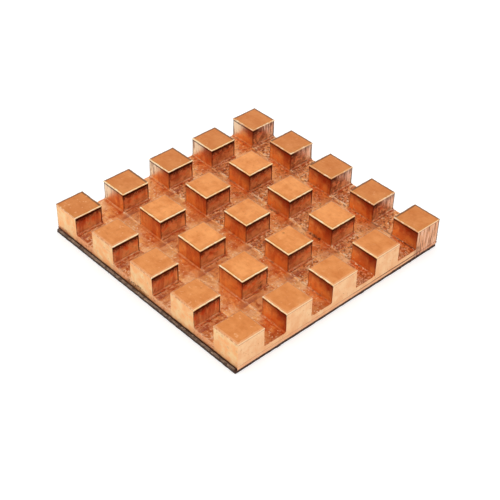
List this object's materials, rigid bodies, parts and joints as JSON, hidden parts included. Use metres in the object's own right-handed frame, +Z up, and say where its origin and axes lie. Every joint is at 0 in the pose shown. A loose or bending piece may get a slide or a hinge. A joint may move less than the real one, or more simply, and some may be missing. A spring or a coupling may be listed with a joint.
{
  "type": "pin fin heat sink",
  "caption": "Small square copper heat sink: short square pins left by crossed slots in one thin block, with a thin thermal pad stuck to its underside.",
  "frame": {"origin": "under the middle of the copper block, on the underside of the thermal pad", "axes": "+Z up through the pins; X and Y along the sides, with the slightly deeper slots running along Y"},
  "size_m": [0.0202, 0.02, 0.0026],
  "materials": {
    "copper": "satin",
    "pad": "matte"
  },
  "bodies": {
    "root": {"heat_sink": "copper", "thermal_pad": "pad"}
  },
  "joints": []
}
